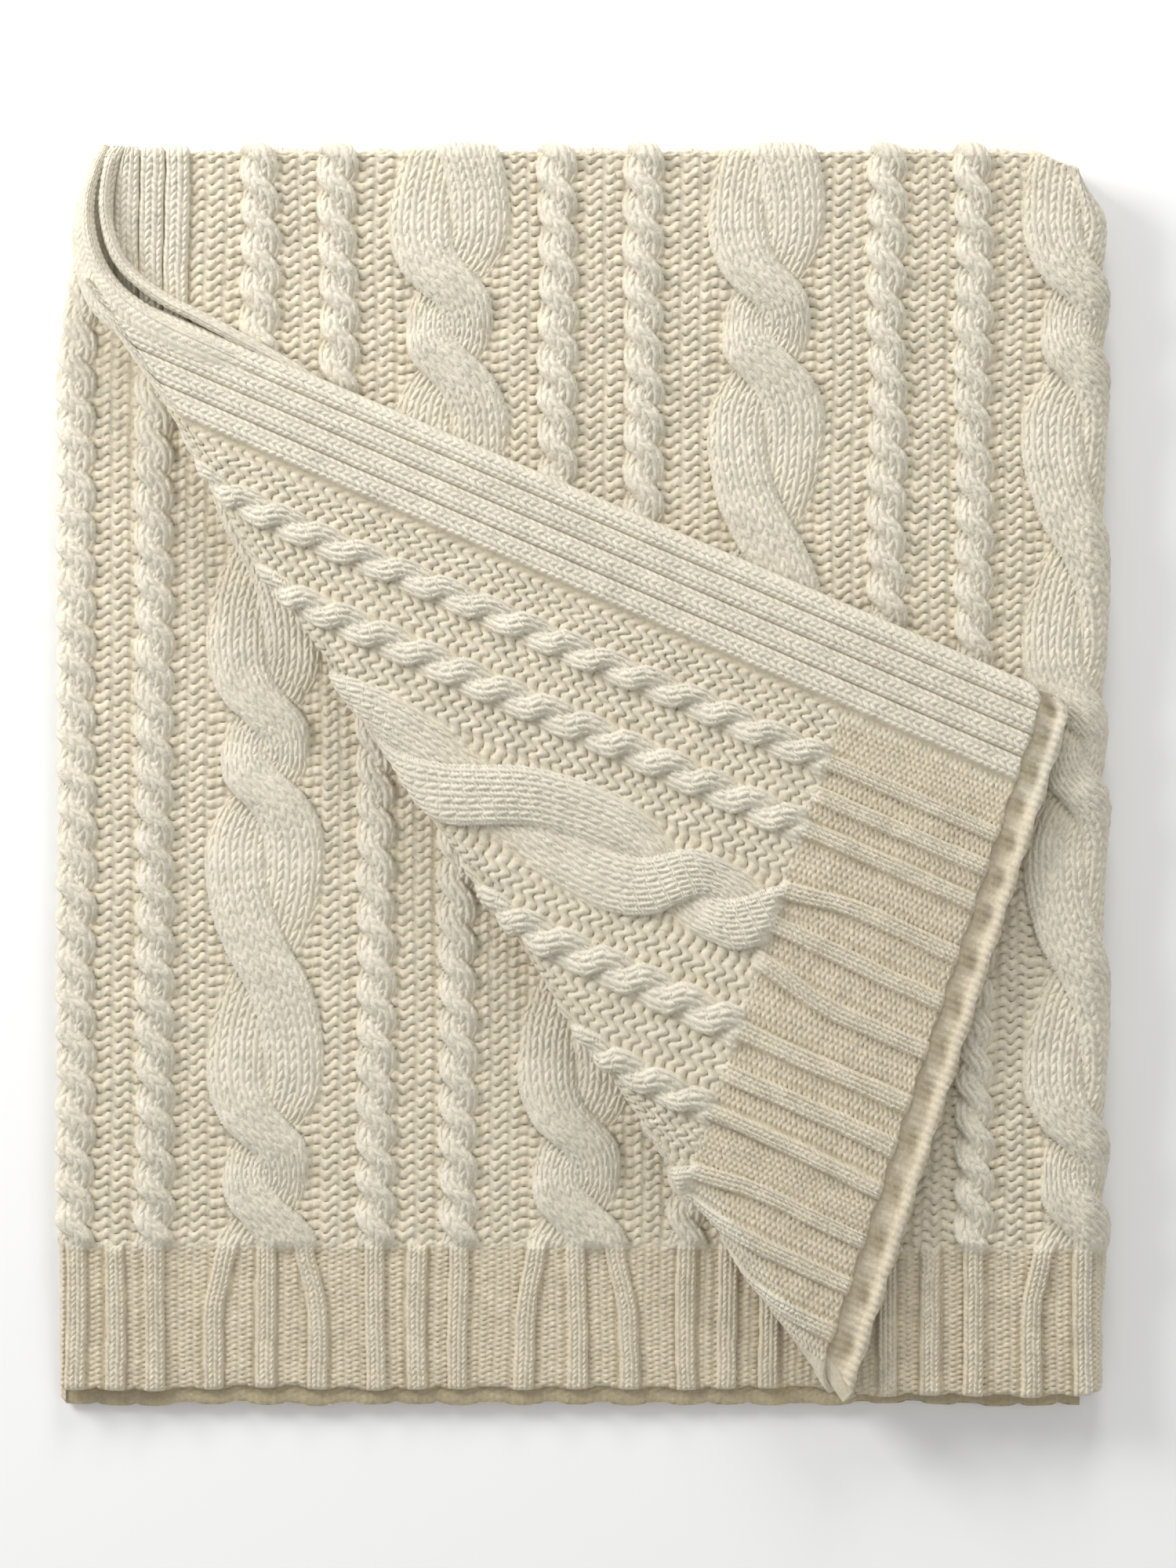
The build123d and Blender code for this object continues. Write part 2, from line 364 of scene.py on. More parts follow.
def band_relief(u, v, cloth):
    """Four broad ribs along the cloth's side edge."""
    place = (u - cloth["edge"]) / BAND_RIB
    rib = np.clip(np.floor(place), 0.0, BAND_RIBS - 1.0)
    f = place - rib - 0.5
    stitch = knit_legs((f + 0.5) * 4.0 + 4.0 * rib, v / (BAND_ROW / cloth["stretch"]))
    return GROUND - 0.6 + 2.8 * dome(2.0 * f, 4.5) + 2.2 * stitch * dome(2.0 * f, 8.0)


def relief(u, v, cloth):
    """Height of the right side above the wrong side."""
    u = u + 0.9 * waves(u, v, 95.0, 11) + 0.25 * waves(u, v, 19.0, 12)
    v = v + 0.9 * waves(u, v, 80.0, 13) + 0.3 * waves(u, v, 17.0, 14)
    hem = 1.0 - fade((v - cloth["hem_top"] + 3.0) / 9.0)
    height = np.zeros_like(u)
    body = hem < 1.0
    height[body] += (1.0 - hem[body]) * panel_relief(u[body], v[body], cloth)
    ribbed = hem > 0.0
    height[ribbed] += hem[ribbed] * hem_relief(u[ribbed], v[ribbed], cloth)
    band_end = cloth["edge"] + BAND_RIBS * BAND_RIB
    band = 1.0 - fade((u - band_end + 1.0) / 5.0)
    sides = band > 0.0
    height[sides] += band[sides] * (band_relief(u[sides], v[sides], cloth) - height[sides])
    return height + 0.25 * waves(u, v, 30.0, 15)


def edge_round(distance, size=3.2):
    """Share of the height that is left near a free edge."""
    return 0.3 + 0.7 * dome(1.0 - np.clip(distance / size, 0.0, 1.0))


def mirrored(cloth):
    """The same cloth seen on its right side when that faces down: left and right change places."""
    small = tuple((-right, -left) for left, right in cloth["small"])
    return dict(cloth, small=small, big=tuple(-centre for centre in cloth["big"]), edge=NO_BAND)


UPPER_MIRRORED = mirrored(UPPER_CLOTH)
LOWER_MIRRORED = mirrored(LOWER_CLOTH)
FLAP_MIRRORED = mirrored(FLAP_CLOTH)


def with_band(height, x, v, cloth):
    """The relief with the side band at the left of x worked into it."""
    band = 1.0 - fade((x - UPPER_LEFT - BAND_RIBS * BAND_RIB) / 6.0)
    side = band > 0.0
    ribs = band_relief(x[side], v[side], dict(cloth, edge=UPPER_LEFT))
    height[side] += band[side] * (ribs - height[side])
    return height


def upper_back_height(u, v):
    """Relief of the rear ply of the upper half, its side band at the other side."""
    return with_band(relief(u, v, UPPER_MIRRORED), -u, v, UPPER_CLOTH)


def ply_height(cloth):
    """Relief function of a cloth."""
    def height(u, v):
        return relief(u, v, cloth)
    return height


# ---- Meshes ----

def grid_lines(low, high, step):
    """Evenly spaced values from low to high, about this far apart."""
    return np.linspace(low, high, max(2, int(round((high - low) / step)) + 1))


def sheet_grid(columns, low, high, step):
    """Vertices and faces of a grid whose columns each run from low to high."""
    first = math.floor(low.min() / step) - 1
    last = math.ceil(high.max() / step) + 1
    lines = np.arange(first, last + 1) * step
    v = np.clip(lines[None, :], low[:, None], high[:, None])
    start = np.clip(np.searchsorted(lines, low + 0.25 * step) - 1, 0, len(lines) - 1)
    stop = np.clip(np.searchsorted(lines, high - 0.25 * step), 0, len(lines) - 1)
    stop = np.maximum(stop, start + 1)
    numbers = np.arange(len(lines))
    kept = np.clip(numbers[None, :], start[:, None], stop[:, None])
    counts = stop - start + 1
    offset = np.concatenate([[0], np.cumsum(counts)[:-1]])
    ids = offset[:, None] + kept - start[:, None]
    own = (numbers[None, :] >= start[:, None]) & (numbers[None, :] <= stop[:, None])
    v[np.arange(len(columns)), start] = low
    v[np.arange(len(columns)), stop] = high
    u = np.broadcast_to(columns[:, None], v.shape)
    a, b, c, d = ids[:-1, :-1], ids[1:, :-1], ids[1:, 1:], ids[:-1, 1:]
    left, right = a != d, b != c
    quads = np.stack([a, b, c, d], -1)[left & right]
    lone_right = np.stack([a, b, c], -1)[~left & right]
    lone_left = np.stack([a, b, d], -1)[left & ~right]
    tris = np.concatenate([lone_right, lone_left])
    top = offset + counts - 1
    edge = np.concatenate([offset, np.arange(offset[-1] + 1, top[-1]), top[::-1],
                           np.arange(top[0] - 1, offset[0], -1)])
    return u[own], v[own], quads, tris, edge


def build_mesh(name, points, quads, tris, ring, normals, smooth):
    """A mesh from arrays; the right side gets the normals of the relief itself. smooth marks the
    smooth faces; ring, if given, is one more flat face."""
    sizes = [np.full(len(quads), 4), np.full(len(tris), 3)]
    loops = [quads.ravel(), tris.ravel()]
    if ring is not None:
        sizes.append(np.array([len(ring)]))
        loops.append(ring)
        smooth = np.append(smooth, False)
    sizes = np.concatenate(sizes).astype(np.int32)
    loops = np.concatenate(loops).astype(np.int32)
    mesh = bpy.data.meshes.new(name)
    mesh.vertices.add(len(points))
    mesh.vertices.foreach_set("co", (points * MM).astype(np.float32).ravel())
    mesh.loops.add(len(loops))
    mesh.loops.foreach_set("vertex_index", loops)
    mesh.polygons.add(len(sizes))
    starts = np.concatenate([[0], np.cumsum(sizes)[:-1]]).astype(np.int32)
    mesh.polygons.foreach_set("loop_start", starts)
    mesh.update(calc_edges=True)
    mesh.polygons.foreach_set("use_smooth", smooth)
    corner = np.zeros((len(loops), 3), np.float32)
    shown = np.repeat(smooth, sizes) & (loops < len(normals))
    corner[shown] = normals[loops[shown]]
    mesh.normals_split_custom_set(corner)
    mesh.validate()
    return mesh


def slopes(u, v, place, height, reach):
    """Normals of the placed relief, not yet of unit length."""
    across = place(u + reach, v, height(u + reach, v)) - place(u - reach, v, height(u - reach, v))
    along = place(u, v + reach, height(u, v + reach)) - place(u, v - reach, height(u, v - reach))
    return np.cross(across, along)


def declare(piece, body, nodes):
    """Parents the piece to its body, if any, and hides the CAD nodes it stands for."""
    if body:
        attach(piece, body)
    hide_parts(*nodes)


def knit_piece(name, body, nodes, sides, limits, step, place, height, curved=False, backing=None,
               shade=None):
    """One zone of cloth. sides gives its first and last column, limits low and high v for each
    column; place maps (u, v, lift) to space, height is the relief of the right side. A flat wrong
    side is one face; a curved or shown one has its own grid, with backing as its lift and shade as
    its painted shade level. Shade is painted into the wool by the relief attribute: the lower it is, the
    darker the colour."""
    columns = grid_lines(*sides, step)
    low, high = limits(columns)
    u, v, quads, tris, edge = sheet_grid(columns, low, high, step)
    lift = height(u, v)
    front = place(u, v, lift)
    normals = slopes(u, v, place, height, REACH * step)
    outward = front - place(u, v, lift - 1.0)
    if np.mean(np.sum(normals * outward, 1)) < 0.0:
        normals = -normals
        quads, tris, edge = quads[:, ::-1], tris[:, ::-1], edge[::-1]
    normals /= np.linalg.norm(normals, axis=1)[:, None] + TINY
    count = len(u)
    full_back = curved or backing is not None
    if full_back:
        back = place(u, v, np.zeros_like(u) if backing is None else backing(u, v))
        behind = edge + count
        quads_back, tris_back = quads[:, ::-1] + count, tris[:, ::-1] + count
    else:
        back = place(u[edge], v[edge], np.zeros(len(edge)))
        behind = np.arange(len(edge)) + count
        quads_back, tris_back = np.zeros((0, 4), int), np.zeros((0, 3), int)
    walls = np.stack([edge, behind, np.roll(behind, -1), np.roll(edge, -1)], -1)
    all_quads = np.concatenate([quads, walls, quads_back])
    all_tris = np.concatenate([tris, tris_back])
    ring = None if full_back else behind[::-1]
    smooth = np.ones(len(all_quads) + len(all_tris), bool)
    smooth[len(quads):len(quads) + len(walls)] = False
    points = np.concatenate([front, back])
    mesh = build_mesh(name, points, all_quads, all_tris, ring, normals, smooth)
    # Painted shade: the relief attribute carries the right side's height, and on the wrong side its painted
    # shade level; the wool darkens where it is low.
    shade_level = np.concatenate([lift, np.full(len(back), BACK_SHADE_LEVEL) if shade is None else shade(u, v)])
    shown = mesh.attributes.new("relief", "FLOAT", "POINT")
    shown.data.foreach_set("value", shade_level.astype(np.float32))
    # Hem pieces take the darker copy of the wool, which is painted shade.
    mesh.materials.append(SHADED_HEM_WOOL if "hem" in name else IVORY)
    piece = bpy.data.objects.new(name, mesh)
    bpy.context.collection.objects.link(piece)
    declare(piece, body, nodes)
    return piece


# ---- Where the cloth lies ----

def stack(x, y, z):
    """Points as rows; the whole stack is a little thicker here and thinner there, and its far right
    corner is rounded."""
    swell = 1.0 + 0.02 * waves(x, y, 210.0, 31)
    near = np.clip((y - TOP_TANGENT + 66.0) / 74.0, 0.0, 1.1)
    inwards = 6.0 * near ** 4 * fade((x - 205.0) / 100.0)
    back = 8.0 * fade((x - 268.0) / 35.0) * fade((y - TOP_TANGENT + 45.0) / 50.0)
    return np.stack([x - inwards, y - back, z * swell], -1)


def draw_in(x, y, start, depth, inner, span):
    """How far the far left corner draws in: from this y on, and over this span of x."""
    near = np.clip((y - start) / (TOP_TANGENT + PLY - start), 0.0, 1.2)
    return depth * near ** 2.2 * fade((inner - x) / span)


def lower_stack(x, y, z):
    """Points of the lower half, rounded at its far left corner."""
    return stack(x + draw_in(x, y, *LOWER_DRAW), y, z)


def upper_stack(x, y, z):
    """Points of the upper half, rounded at its far left corner."""
    return stack(x + draw_in(x, y, *UPPER_DRAW), y, z)


def fold_side(x, y):
    """Distance from the corner roll's tangent line, positive on the flat upper half."""
    return INWARD[0] * x + INWARD[1] * y - TANGENT


def tangent_y(x):
    """Y of the corner roll's tangent line."""
    return (TANGENT - INWARD[0] * x) / INWARD[1]


def open_to_sky(x, y):
    """1 where nothing lies on the upper half, 0 under the turned-back corner."""
    across, along = x - FRONT_CORNER[0], y - FRONT_CORNER[1]
    over_band = along * math.cos(BAND_SLOPE) - across * math.sin(BAND_SLOPE)
    across, along = x - BACK_CORNER[0], y - BACK_CORNER[1]
    past_hem = across * math.sin(BACK_HEM_SLOPE) - along * math.cos(BACK_HEM_SLOPE)
    return fade((np.maximum(over_band, past_hem) - 4.0) / 22.0)


def place_upper_front(u, v, lift):
    """The front ply of the upper half, plumper where nothing presses on it."""
    return upper_stack(u, v, LEVEL[3] + lift * (1.0 + PROUD * open_to_sky(u, v)))


def place_upper_back(u, v, lift):
    """The rear ply of the upper half, its right side down."""
    return upper_stack(-u, v, LEVEL[2] + PLY - lift)


def wrong_side(u, v):
    """Fine bumps of a hem's wrong side, 0 to 1 high."""
    return purl_bumps(u, v, HEM_ROW * 1.2, HEM_PURL_WAVE, PURL_SWING)


def tucked(x):
    """1 where the side band is tucked in under the lower half's edge."""
    return fade((BAND_INNER - 15.0 - x) / 25.0)


def place_lower_front(u, v, lift):
    """The front ply of the lower half; its edge lies over the tucked side band."""
    bare = fade((-fold_side(u, v) - ROLL_OUTER - 8.0) / 20.0)
    rise = lift * (1.0 - 0.3 * tucked(u) * (1.0 - bare)) * (1.0 + 0.04 * bare)
    return lower_stack(u, v, LEVEL[1] + TUCK * tucked(u) + rise)


def place_lower_back(u, v, lift):
    """The rear ply of the lower half, its right side down."""
    return lower_stack(-u, v, LEVEL[0] + PLY - TUCK * tucked(-u) - lift * (1.0 - 0.3 * tucked(-u)))


def place_lower_edge(u, v, lift, ply):
    """The folded left edge of a lower ply: u falls from the turn by the length of the half turn."""
    angle = np.clip((EDGE_TURN - u) / EDGE_LENGTH, 0.0, 1.0) * math.pi
    centre = LEVEL[1] + TUCK
    radius = place_lower_front(np.full_like(u, EDGE_TURN), v, lift)[:, 2] - centre
    sink = np.where(angle > math.pi / 2.0, 0.42, 1.0)
    z = centre + radius * np.cos(angle) * sink
    if ply == 0:
        z = 2.0 * LEVEL[1] - PLY_GAP - z
    x = EDGE_TURN - radius * np.sin(angle)
    drawn = draw_in(np.full_like(x, EDGE_TURN), v, *LOWER_DRAW)
    return np.stack([x + drawn, v, np.maximum(z, 0.0)], -1)


def place_tucked(u, v, lift, ply):
    """A side band of the lower half, turned in between the plies."""
    thin = (TUCK - 0.2) / PLY * lift
    if ply:
        return lower_stack(u, v, LEVEL[1] + TUCK - 0.1 - thin)
    return lower_stack(u, v, LEVEL[0] + PLY - TUCK + 0.1 + thin)


def tucked_height(u, v):
    """Ribs of a tucked side band."""
    return band_relief(u, v, dict(UPPER_CLOTH, edge=EDGE_TURN))


def wrap_squeeze(v):
    """The wrap draws in towards the rounded far corner."""
    return 1.0 - 0.95 * fade((v - TOP_TANGENT + 42.0) / 46.0)


def place_outer_wrap(u, v, lift):
    """The outer ply turning round the right edge, from the top downwards."""
    angle = np.clip((u - RIGHT_TANGENT) / WRAP_LENGTH, 0.0, 1.0) * math.pi
    proud = PROUD * (1.0 + np.cos(angle)) / 2.0
    far = WRAP_OUTER - PLY + lift * (1.0 + proud * open_to_sky(RIGHT_TANGENT, v))
    x = RIGHT_TANGENT + far * np.sin(angle) * wrap_squeeze(v)
    return stack(x, v, WRAP_Z + far * np.cos(angle))


def place_inner_wrap(u, v, lift):
    """The inner ply turning round the right edge, its right side inwards."""
    angle = np.clip((u - RIGHT_TANGENT) / INNER_LENGTH, 0.0, 1.0) * math.pi
    far = WRAP_OUTER - LEVEL[1] - lift * 0.97
    x = RIGHT_TANGENT + far * np.sin(angle) * wrap_squeeze(v)
    return stack(x, v, WRAP_Z - far * np.cos(angle))


def place_top(u, v, lift, ply):
    """Cloth turning over the far edge, from this ply down to the one below it."""
    angle = np.clip((v - TOP_TANGENT) / TOP_LENGTH, 0.0, 1.0) * math.pi
    proud = PROUD * open_to_sky(u, TOP_TANGENT) * (1.0 + np.cos(angle)) / 2.0 if ply == 3 else 0.0
    far = PLY_GAP / 2.0 + lift * (1.0 + proud)
    if ply == 1:
        far = far - 0.25 * tucked(u) * lift
    ease = 1.0 - 0.75 * fade((u - RIGHT_TANGENT + 38.0) / 40.0)
    centre = LEVEL[ply] - PLY_GAP / 2.0 + (TUCK * tucked(u) * np.cos(angle) if ply == 1 else 0.0)
    y = TOP_TANGENT + far * np.sin(angle) * ease
    z = centre + far * np.cos(angle)
    return lower_stack(u, y, z) if ply == 1 else upper_stack(u, y, z)


class Flap:
    """The turned-back corner: a runs along the hem from the corner, b along the side edge."""

    def __init__(self, corner, hem_slope):
        self.corner = corner
        self.a_way = -np.array([math.cos(hem_slope), math.sin(hem_slope)])

    def b_way(self, a):
        """Direction in which b grows."""
        slope = BAND_SLOPE - BAND_FAN * a
        return -np.cos(slope), -np.sin(slope)

    def plan(self, a, b):
        """Plan point of a and b."""
        way_x, way_y = self.b_way(a)
        return (self.corner[0] + a * self.a_way[0] + b * way_x,
                self.corner[1] + a * self.a_way[1] + b * way_y)

    def far_end(self, a):
        """b where the flat flap meets the corner roll."""
        way_x, way_y = self.b_way(a)
        base = INWARD @ self.corner + a * (INWARD @ self.a_way)
        return (TANGENT - base) / (INWARD[0] * way_x + INWARD[1] * way_y)

    def widest(self):
        """a where the hem meets the corner roll."""
        return float((TANGENT - INWARD @ self.corner) / (INWARD @ self.a_way))

    def cloth_point(self, x, y):
        """a and b of a plan point."""
        a = np.zeros_like(x)
        for _ in range(4):
            way_x, way_y = self.b_way(a)
            dx, dy = x - self.corner[0], y - self.corner[1]
            det = self.a_way[0] * way_y - self.a_way[1] * way_x
            a = (dx * way_y - dy * way_x) / det
        b = (self.a_way[0] * dy - self.a_way[1] * dx) / det
        return a, b


FRONT_FLAP = Flap(FRONT_CORNER, FRONT_HEM_SLOPE)
BACK_FLAP = Flap(BACK_CORNER, BACK_HEM_SLOPE)


def corner_inset(a):
    """How far the hem edge draws back at the rounded corner."""
    near = np.clip(CORNER_ROUND - a, 0.0, CORNER_ROUND)
    return CORNER_ROUND - np.sqrt(CORNER_ROUND ** 2 - near ** 2)


def flap_front_height(a, b):
    """Relief of the front flap; its cables are those of the rear cloth, so they cross in mirror."""
    u = UPPER_LEFT + np.interp(a, FLAP_FROM, FLAP_TO)
    v = HEM_TOP + (b - FLAP_PATTERN_SHIFT) / FLAP_ROW_SCALE
    return with_band(relief(-u, v, FLAP_MIRRORED), u, v, FLAP_CLOTH)


def free_flap_edges(a, b):
    """Rounding of the flap's two free edges."""
    return edge_round(np.minimum(a + EDGE_MARGIN, b + EDGE_MARGIN - corner_inset(a)))


def flap_front_lift(a, b):
    """Relief of the front flap with its edges rounded, a little plumper than a pressed ply."""
    return flap_front_height(a, b) * free_flap_edges(a, b) * 1.08


def place_flap_front(a, b, lift):
    """The front ply of the turned-back corner, drooping at its side edge."""
    x, y = FRONT_FLAP.plan(a, b)
    droop = 9.0 * (1.0 - dome(1.0 - np.clip((a + 1.0) / 16.0, 0.0, 1.0)))
    return stack(x, y, LEVEL[5] - droop + lift)


def flap_back_height(a, b):
    """Relief of the rear ply of the corner, which faces down."""
    return relief(UPPER_LEFT + a, HEM_END[3] + b, UPPER_CLOTH)


def flap_back_lift(a, b):
    """The same with its edges rounded."""
    return flap_back_height(a, b) * free_flap_edges(a, b)


def hollows(a):
    """1 in the middle of each hollow along the rear ply's hem, 0 between them."""
    return 0.5 + 0.5 * np.cos(2.0 * math.pi * (np.sqrt(345.2 + 2.0 * a) - 22.0))


def rim(a, b):
    """Height of the rear ply's wrong side near its hem: a curled rim, then a channel with a hollow
    at each rib."""
    channel = np.exp(-((b - 11.5) / 4.6) ** 2)
    return 2.8 * np.exp(-((b - 3.2) / 3.8) ** 4) - (0.3 + 3.2 * hollows(a)) * channel


def flap_back_shade(a, b):
    """Painted shade of the rear ply's wrong side: painted light on its rim, painted shade in the channel
    behind it, lighter between its hollows, and darker between its bumps and ridges.
    """
    near = b - corner_inset(a)
    ridge = np.abs(np.cos(math.pi * a / BACK_RIDGE))
    rimmed = 1.0 - fade((near - 4.5) / 5.0)
    painted_light_bars = 1.6 * (1.0 - hollows(a)) * (1.0 - rimmed)
    return 0.8 + 2.6 * rimmed + painted_light_bars + 0.7 * wrong_side(a, b) + 0.8 * ridge


def flap_back_backing(a, b):
    """Lift of the rear ply's wrong side, which draws in at its hem."""
    return 3.0 * (1.0 - edge_round(b - corner_inset(a), 4.0))


def place_flap_back(a, b, lift):
    """The rear ply of the turned-back corner, with its curled rim beyond the front ply."""
    x, y = BACK_FLAP.plan(a, b)
    near = b - corner_inset(a)
    rough = 0.8 * wrong_side(a, b) + 1.3 * np.abs(np.cos(math.pi * a / BACK_RIDGE))
    top = LEVEL[4] + PLY + rim(a, near) + rough * np.clip(1.0 - near / 30.0, 0.0, 1.0) - 0.8
    thin = (top - LEVEL[4]) / PLY
    return stack(x, y, top - lift * np.minimum(thin, 1.0))


def roll_plan(s, across):
    """Plan point at s along the corner fold and this far inwards from its tangent line."""
    start = FOLD_POINT[:2] + INWARD * ROLL_OUTER
    return (start[0] + ALONG[0] * s + INWARD[0] * across,
            start[1] + ALONG[1] * s + INWARD[1] * across)


def roll_squeeze(s):
    """The roll is pulled tight towards the far end of the fold."""
    return 0.34 + 0.66 * fade((s - 30.0) / 140.0)


def place_roll(arc, s, lift, radius, sign):
    """Cloth of the corner roll: arc runs from the flat upper half round to the corner."""
    angle = np.clip(arc / ROLL_LENGTH[sign], 0.0, 1.0) * math.pi
    far = radius + sign * lift
    x, y = roll_plan(s, -far * np.sin(angle) * roll_squeeze(s))
    return stack(x, y, FOLD_POINT[2] - far * np.cos(angle))


def along_curl(stations, s):
    """Smoothly interpolated values of a curl's stations; s runs from 0 to 1 along it."""
    table = np.array(stations)
    last = len(table) - 1
    place = np.clip(s, 0.0, 1.0) * last
    index = np.clip(np.floor(place).astype(int), 0, last - 1)
    t = (place - index)[:, None]
    before, here = table[np.maximum(index - 1, 0)], table[index]
    there, after = table[index + 1], table[np.minimum(index + 2, last)]
    return here + 0.5 * t * (there - before + t * (
        2.0 * before - 5.0 * here + 4.0 * there - after + t * (3.0 * (here - there) + after - before)))


def place_curl(u, v, lift, stations, width, length):
    """An edge that arches over its ridge: u runs across it from the left foot, v along it."""
    values = along_curl(stations, v / length)
    ahead, behind = along_curl(stations, v / length + 0.01), along_curl(stations, v / length - 0.01)
    step = ahead[:, :2] - behind[:, :2]
    way = step / (np.linalg.norm(step, axis=1)[:, None] + TINY)
    across = np.stack([-way[:, 1], way[:, 0]], -1)
    angle = np.clip(u / width, 0.0, 1.0) * math.pi
    left = angle < math.pi / 2.0
    reach = np.where(left, values[:, 3], values[:, 5])
    foot = np.where(left, values[:, 4], values[:, 6])
    rise = np.sin(angle) ** 0.9
    side = -np.cos(angle)
    plan = values[:, :2] + across * ((reach + lift - CURL_MEAN) * side)[:, None]
    z = foot + (values[:, 2] - foot) * rise + (lift - CURL_MEAN) * np.sin(angle)
    return np.stack([plan[:, 0], plan[:, 1], z], -1)


def roll_height(arc, s, sign):
    """Relief of the roll: the flat half's pattern below, the turned-back corner's above."""
    length = ROLL_LENGTH[sign]
    x_flat, y_flat = roll_plan(s, -arc)
    x_flap, y_flap = roll_plan(s, arc - length)
    if sign == OUTER:
        below = relief(-x_flat, y_flat, UPPER_MIRRORED)
        a, b = FRONT_FLAP.cloth_point(x_flap, y_flap)
        above = flap_front_lift(np.maximum(a, 0.0), np.maximum(b, 0.0))
    else:
        below = relief(x_flat, y_flat, UPPER_CLOTH)
        a, b = BACK_FLAP.cloth_point(x_flap, y_flap)
        above = flap_back_height(a, b)
    mix = fade((arc / length - 0.3) / 0.25)
    return below + mix * (above - below)


# ---- Material, floor, lights and camera ----

def set_inputs(node, values):
    """Sets a node's sockets by name."""
    for socket, value in values.items():
        node.inputs[socket].default_value = value


def noise(nodes, scale, detail, distortion=0.0):
    """A noise texture."""
    texture = nodes.new("ShaderNodeTexNoise")
    set_inputs(texture, {"Scale": scale, "Detail": detail, "Distortion": distortion})
    return texture


def wool(name, crest, recess_shade, deep_shade, seed):
    """Brushed ivory yarn with loose fibres: its own colour on the crests, with shade painted in darker and
    more olive towards the hollows, down to a painted shadow colour.
    """
    material = bpy.data.materials.new(name)
    material.use_nodes = True
    nodes, links = material.node_tree.nodes, material.node_tree.links
    shader = nodes["Principled BSDF"]
    set_inputs(shader, {"Roughness": 0.92, "Specular IOR Level": 0.18, "Sheen Weight": 0.35,
                        "Sheen Roughness": 0.45, "Sheen Tint": (1.0, 0.98, 0.92, 1.0)})
    height = nodes.new("ShaderNodeAttribute")
    height.attribute_name = "relief"
    span = nodes.new("ShaderNodeMapRange")
    set_inputs(span, {"From Min": 0.0, "From Max": 6.8})
    # Painted shade: the lower the relief attribute, the darker the colour, from the crest colour through
    # the shade of the hollows to the painted shadow colour.
    shade_ramp = nodes.new("ShaderNodeValToRGB")
    shade_ramp.color_ramp.elements[0].color = (*deep_shade, 1.0)
    shade_ramp.color_ramp.elements[1].color = (*crest, 1.0)
    shade_ramp.color_ramp.elements[1].position = 0.82
    middle = shade_ramp.color_ramp.elements.new(0.36)
    middle.color = (*recess_shade, 1.0)
    where = nodes.new("ShaderNodeTexCoord")
    patches = noise(nodes, 90.0 + seed, 4.0)
    fibres = noise(nodes, 1500.0, 3.0, 1.2)
    specks = noise(nodes, 520.0, 2.0)
    both = nodes.new("ShaderNodeMath")
    both.operation = "ADD"
    tint = nodes.new("ShaderNodeMix")
    tint.data_type = "RGBA"
    tint.blend_type = "MULTIPLY"
    tint.inputs["Factor"].default_value = 0.42
    bump = nodes.new("ShaderNodeBump")
    set_inputs(bump, {"Strength": 0.75, "Distance": 0.0008})
    for source, socket in (
            (height.outputs["Fac"], span.inputs["Value"]),
            (span.outputs["Result"], shade_ramp.inputs["Fac"]),
            (where.outputs["Object"], patches.inputs["Vector"]),
            (where.outputs["Object"], fibres.inputs["Vector"]),
            (where.outputs["Object"], specks.inputs["Vector"]),
            (patches.outputs["Fac"], both.inputs[0]),
            (specks.outputs["Fac"], both.inputs[1]),
            (shade_ramp.outputs["Color"], tint.inputs["A"]),
            (both.outputs["Value"], tint.inputs["B"]),
            (tint.outputs["Result"], shader.inputs["Base Color"]),
            (fibres.outputs["Fac"], bump.inputs["Height"]),
            (bump.outputs["Normal"], shader.inputs["Normal"])):
        links.new(source, socket)
    return material


def floor():
    """A plain pale floor."""
    mesh = bpy.data.meshes.new("floor")
    corners = [(x, y, 0.0) for x, y in ((-FLOOR, -FLOOR), (FLOOR, -FLOOR), (FLOOR, FLOOR), (-FLOOR, FLOOR))]
    mesh.from_pydata(corners, [], [(0, 1, 2, 3)])
    paint = bpy.data.materials.new("floor_paint")
    paint.use_nodes = True
    nodes, links = paint.node_tree.nodes, paint.node_tree.links
    shader = nodes["Principled BSDF"]
    set_inputs(shader, {"Roughness": 0.9, "Specular IOR Level": 0.1})
    grain = nodes.new("ShaderNodeTexNoise")
    grain.inputs["Scale"].default_value = 12.0
    shade = nodes.new("ShaderNodeValToRGB")
    shade.color_ramp.elements[0].color = (0.93, 0.93, 0.925, 1.0)
    shade.color_ramp.elements[1].color = (0.95, 0.95, 0.945, 1.0)
    links.new(grain.outputs["Fac"], shade.inputs["Fac"])
    links.new(shade.outputs["Color"], shader.inputs["Base Color"])
    mesh.materials.append(paint)
    ground = bpy.data.objects.new("floor", mesh)
    bpy.context.collection.objects.link(ground)


def area_light(name, place, size, power):
    """A square soft box that faces the throw."""
    data = bpy.data.lights.new(name, "AREA")
    data.size = size
    data.energy = power
    lamp = bpy.data.objects.new(name, data)
    lamp.location = place
    lamp.rotation_mode = "QUATERNION"
    lamp.rotation_quaternion = (-Vector(place)).to_track_quat("-Z", "Y")
    bpy.context.collection.objects.link(lamp)


def studio():
    """A soft key from the left, a weaker one from the far edge, a fill and a bright surround."""
    for name, place, size, power in LIGHTS:
        area_light(name, place, size, power)
    world = bpy.data.worlds.new("studio")
    world.use_nodes = True
    background = world.node_tree.nodes["Background"]
    set_inputs(background, {"Color": (1.0, 1.0, 1.0, 1.0), "Strength": SURROUND})
    bpy.context.scene.world = world
    bpy.context.scene.view_settings.view_transform = "Standard"


